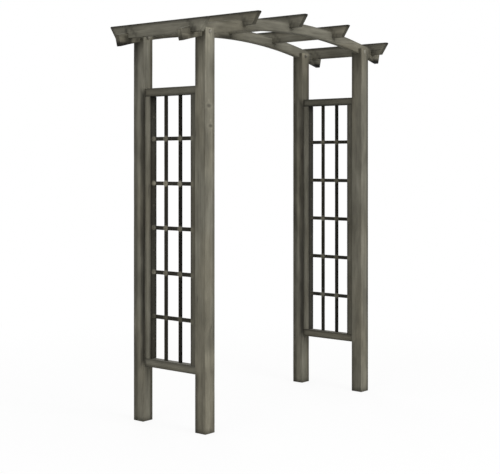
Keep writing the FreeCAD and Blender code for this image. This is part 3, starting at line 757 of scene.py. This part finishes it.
bolts = bmesh.new()
for low, high in loose_parts("arch_bolts"):
    middle = (low + high) / 2
    out = 1 if middle.y > 0 else -1
    head_top = high.y if out > 0 else low.y
    length = high.y - low.y
    head_radius = (high.x - low.x) / 2
    ball = (head_radius ** 2 + BOLT_HEAD ** 2) / (2 * BOLT_HEAD)
    lean = math.asin(head_radius / ball)
    leans = [lean * step / DOME_STEPS for step in range(1, DOME_STEPS)]
    dome = [(ball * math.sin(angle), ball * math.cos(angle) - ball) for angle in leans]
    dome.append((head_radius - HEAD_RIM, HEAD_RIM + 0.0001 - BOLT_HEAD))
    plain = [(head_radius, 0.0001 - BOLT_HEAD), (BOLT_SHANK, -BOLT_HEAD),
             (BOLT_SHANK, THREADED - length)]
    rows = round_rows(dome + plain, BOLT_POINTS)
    for level in range(1, round(THREADED / THREAD_PITCH * THREAD_STEPS) + 1):
        rows.append(thread_row(THREADED - length - level * THREAD_PITCH / THREAD_STEPS))
    skin(bolts, rows, facing((middle.x, head_top, middle.z), (0, out, 0)))
finish_group(bolts, "arch_bolts", zinc)

BORE = 0.0051              # radius of the hole in a washer and in a nut
WASHER_EASED = 0.0004      # how far a washer's rim is taken off
WASHER_POINTS = 40         # points round a washer
washers = bmesh.new()
for low, high in loose_parts("arch_bolt_washers"):
    middle = (low + high) / 2
    radius = (high.x - low.x) / 2
    thickness = high.y - low.y
    profile = ((BORE, 0), (radius - WASHER_EASED, 0), (radius, -WASHER_EASED),
               (radius, WASHER_EASED - thickness), (radius - WASHER_EASED, -thickness),
               (BORE, -thickness), (BORE, 0))
    skin(washers, round_rows(profile, WASHER_POINTS),
         facing((middle.x, high.y, middle.z), (0, 1, 0)), ends=False)
bmesh.ops.remove_doubles(washers, verts=washers.verts, dist=SAME_POINT)
finish_group(washers, "arch_bolt_washers", zinc)

NUT_CORNER = 0.0098        # from a nut's axis to a corner of its hexagon
NUT_FLAT = NUT_CORNER * math.cos(math.pi / 6)
NUT_POINTS = 72            # points round a nut, a multiple of its six sides
CHAMFER_LEVELS = (0.0, 0.0003, 0.0006, 0.0009)     # how far down its chamfer is worked out
CHAMFER_SLOPE = 1.73       # how far the chamfer runs out for each length down
CHAMFER_IN = 0.0002        # how far inside a flat it starts


def hexagon(angle):
    """How far out the side of a nut lies at an angle round its axis."""
    return NUT_FLAT / math.cos((angle + math.pi / 6) % (math.pi / 3) - math.pi / 6)


nuts = bmesh.new()
for low, high in loose_parts("arch_bolt_nuts"):
    middle = (low + high) / 2
    thickness = high.y - low.y
    levels = [(-down, NUT_FLAT - CHAMFER_IN + down * CHAMFER_SLOPE) for down in CHAMFER_LEVELS]
    levels += [(-thickness - height, reach) for height, reach in reversed(levels)]
    rows = round_rows([(BORE, 0)], NUT_POINTS)
    rows += [point_row(lambda angle: min(hexagon(angle), reach), height, NUT_POINTS)
             for height, reach in levels]
    rows += round_rows([(BORE, -thickness), (BORE, 0)], NUT_POINTS)
    skin(nuts, rows, facing((middle.x, high.y, middle.z), (0, 1, 0)), ends=False)
bmesh.ops.remove_doubles(nuts, verts=nuts.verts, dist=SAME_POINT)
finish_group(nuts, "arch_bolt_nuts", zinc, sharp=0.35)


# ---------------------------------------------------------------------------------------------
# Screws. Countersunk zinc screws with cross recesses: down through each rafter into the beams,
# through the stiles into the posts, and through the rails into the ends of the stiles.
# ---------------------------------------------------------------------------------------------

screw_zinc = galvanised("screw_zinc", (0.115, 0.105, 0.085), (0.075, 0.068, 0.054), 0.7)
HEAD_RADIUS = {"rafter_screws": 0.006, "stile_screws": 0.005, "rail_screws": 0.005}
SUNK = 0.0002              # how far a head lies below the timber
FLARE = 0.004              # height of the countersunk part
POINT = 0.008              # length of the point
POINT_TIP = 0.0004         # its radius at the tip
HEAD_EASED = 0.0004        # how far the rim of a head is taken off
SCREW_POINTS = 48          # points round a screw
HEAD_TURN = 1.1            # from one head's angle to the next, so that no two look alike


def screw_rows(head, length):
    """Rows of a countersunk screw from the floor of its cross recess to its point."""
    arm = head * 0.56      # half the length of the cross
    slot = head * 0.13     # half the width of its arms
    deep = head * 0.42
    shank = head / 2

    def cross(angle):
        across, up = abs(math.cos(angle)), abs(math.sin(angle))
        return min(arm / max(across, up), slot / min(across, up))

    levels = ((-deep, lambda angle: 0.15 * cross(angle)),
              (-deep * 0.8, lambda angle: 0.8 * cross(angle)),
              (-SUNK, cross),
              (-SUNK, lambda angle: head - HEAD_EASED),
              (-SUNK - 0.0003, lambda angle: head - 0.0001),
              (-FLARE, lambda angle: shank),
              (-length + POINT, lambda angle: shank),
              (-length, lambda angle: POINT_TIP))
    return [point_row(reach, height, SCREW_POINTS, first=0.5) for height, reach in levels]


def screw_outward(node, middle):
    """Which way a screw's head faces, from where it sits in the arch."""
    if node == "rafter_screws":
        return Vector((0, 0, 1))
    if node == "stile_screws":
        return Vector((0, -1 if middle.y > 0 else 1, 0))
    return Vector((0, 0, 1 if middle.z > 1 else -1))


for node, head in HEAD_RADIUS.items():
    screws = bmesh.new()
    for number, (low, high) in enumerate(loose_parts(node)):
        middle = (low + high) / 2
        outward = screw_outward(node, middle)
        length = abs((high - low).dot(outward))
        place = facing(middle + outward * length / 2, outward)
        place @= Matrix.Rotation(HEAD_TURN * number, 4, "Z")
        skin(screws, screw_rows(head, length), place)
    finish_group(screws, node, screw_zinc, sharp=0.5)


# ---------------------------------------------------------------------------------------------
# Slat pins. Small round-headed steel pins, driven in from the outer side of each panel. One holds
# the two slats together at each crossing.
# ---------------------------------------------------------------------------------------------

PIN_HEAD = 0.0008          # height of the head
PIN_SHANK = 0.0009         # radius of the shank
PIN_POINT = 0.001          # length of the point
PIN_TIP = 0.0002           # its radius at the tip
PIN_POINTS = 20            # points round a pin
HEAD_LEANS = (0.3, 0.6, 0.9, 1.2, 1.45)            # angles at which its round head is worked out
pins = bmesh.new()
for low, high in loose_parts("slat_pins"):
    middle = (low + high) / 2
    out = 1 if middle.x > 0 else -1
    head_top = high.x if out > 0 else low.x
    length = high.x - low.x
    head_radius = (high.y - low.y) / 2
    profile = [(head_radius * math.sin(lean), -PIN_HEAD * (1 - math.cos(lean)))
               for lean in HEAD_LEANS]
    profile += [(head_radius, -PIN_HEAD), (PIN_SHANK, -PIN_HEAD), (PIN_SHANK, PIN_POINT - length),
                (PIN_TIP, -length)]
    skin(pins, round_rows(profile, PIN_POINTS),
         facing((head_top, middle.y, middle.z), (out, 0, 0)))
finish_group(pins, "slat_pins", screw_zinc)


# ---------------------------------------------------------------------------------------------
# Ground and light. A plain pale floor that fades into a white surround, three broad soft lamps,
# in front, on the left and behind, and an even sky.
# ---------------------------------------------------------------------------------------------


def plain_sight(tree):
    """Yes for light that reaches the eye straight, or off or through something shiny."""
    seen = tree.nodes.new("ShaderNodeLightPath").outputs
    answer = seen["Is Camera Ray"]
    for also in ("Is Glossy Ray", "Is Transmission Ray"):
        either = tree.nodes.new("ShaderNodeMath")
        either.operation = "MAXIMUM"
        tree.links.new(answer, either.inputs[0])
        tree.links.new(seen[also], either.inputs[1])
        answer = either.outputs[0]
    return answer


def shader(tree, kind, colour, strength=None):
    """A plain surface or light of one colour."""
    node = tree.nodes.new("ShaderNode" + kind)
    node.inputs["Color"].default_value = (*colour, 1)
    if strength is not None:
        node.inputs["Strength"].default_value = strength
    return node.outputs[0]


def blend(tree, share, first, second):
    """The first surface where the share is none, and the second where it is whole."""
    node = tree.nodes.new("ShaderNodeMixShader")
    for socket, source in zip(node.inputs, (share, first, second)):
        tree.links.new(source, socket)
    return node.outputs[0]


GROUND_WIDTH = 160
SHADOW_REACH = (1.2, 3.6)  # where the floor's faint shadows start to fade, and where they are gone
SHADOW_SHARE = 0.11        # how matt the white floor is near the arch, so that shadows show
WHITE = (1, 1, 1)
PALE = (0.96, 0.96, 0.96)
DULL = (0.42, 0.42, 0.41)  # the floor that the arch itself is lit by
bpy.ops.mesh.primitive_plane_add(size=GROUND_WIDTH, location=(0, 0, 0))
ground = bpy.context.object
ground.name = "ground"
floor = Finish("pale_floor")
tree = floor.tree
away = floor.shift("LENGTH", floor.stage("TexCoord", {}).outputs["Object"])
matt_share = floor.spread(away, *SHADOW_REACH, SHADOW_SHARE, 0.0)
matt = shader(tree, "BsdfDiffuse", PALE)
dull = shader(tree, "BsdfDiffuse", DULL)
glow = shader(tree, "Emission", WHITE, 1.0)
surface = blend(tree, plain_sight(tree), dull, blend(tree, matt_share, glow, matt))
tree.links.new(surface, tree.nodes["Material Output"].inputs["Surface"])
ground.data.materials.append(floor.material)

SKY_LIGHT = 0.62           # how strongly the sky lights the arch; it is seen as plain white
sky = bpy.data.worlds.new("sky")
bpy.context.scene.world = sky
sky.use_nodes = True
tree = sky.node_tree
seen_sky = shader(tree, "Background", WHITE, 1.0)
lit_sky = shader(tree, "Background", WHITE, SKY_LIGHT)
tree.links.new(blend(tree, plain_sight(tree), lit_sky, seen_sky),
               tree.nodes["World Output"].inputs["Surface"])

AIM = (0, 0, 1.1)          # the middle of the arch, which every lamp points at


def soft_lamp(name, place, side, power):
    """A square lamp, with its side in metres and its power in watts."""
    lamp = bpy.data.lights.new(name, "AREA")
    lamp.shape = "SQUARE"
    lamp.size = side
    lamp.energy = power
    holder = bpy.data.objects.new(name, lamp)
    holder.location = place
    holder.rotation_euler = (Vector(AIM) - Vector(place)).to_track_quat("-Z", "Y").to_euler()
    bpy.context.scene.collection.objects.link(holder)


soft_lamp("front_lamp", (-0.3, -7.0, 4.0), side=3.0, power=255)
soft_lamp("side_lamp", (-7.5, -1.0, 3.6), side=4.0, power=125)
soft_lamp("back_lamp", (4.5, 6.5, 4.0), side=4.0, power=140)


# ---------------------------------------------------------------------------------------------
# Camera. At chest height, to the front and left of the arch, held level so that the posts stay
# upright, with the whole arch in view.
# ---------------------------------------------------------------------------------------------

CAMERA_PLACE = (-4.801, -3.993, 1.342)
CAMERA_TURN = -49.84       # degrees from looking straight back
lens = bpy.data.cameras.new("camera")
lens.sensor_width = 36.0
lens.sensor_fit = "HORIZONTAL"
lens.lens = 81.0
lens.shift_y = -0.149
lens.clip_end = 300.0
camera = bpy.data.objects.new("camera", lens)
camera.location = CAMERA_PLACE
camera.rotation_euler = (math.pi / 2, 0, math.radians(CAMERA_TURN))
bpy.context.scene.collection.objects.link(camera)
bpy.context.scene.camera = camera
bpy.context.scene.view_settings.view_transform = "Standard"
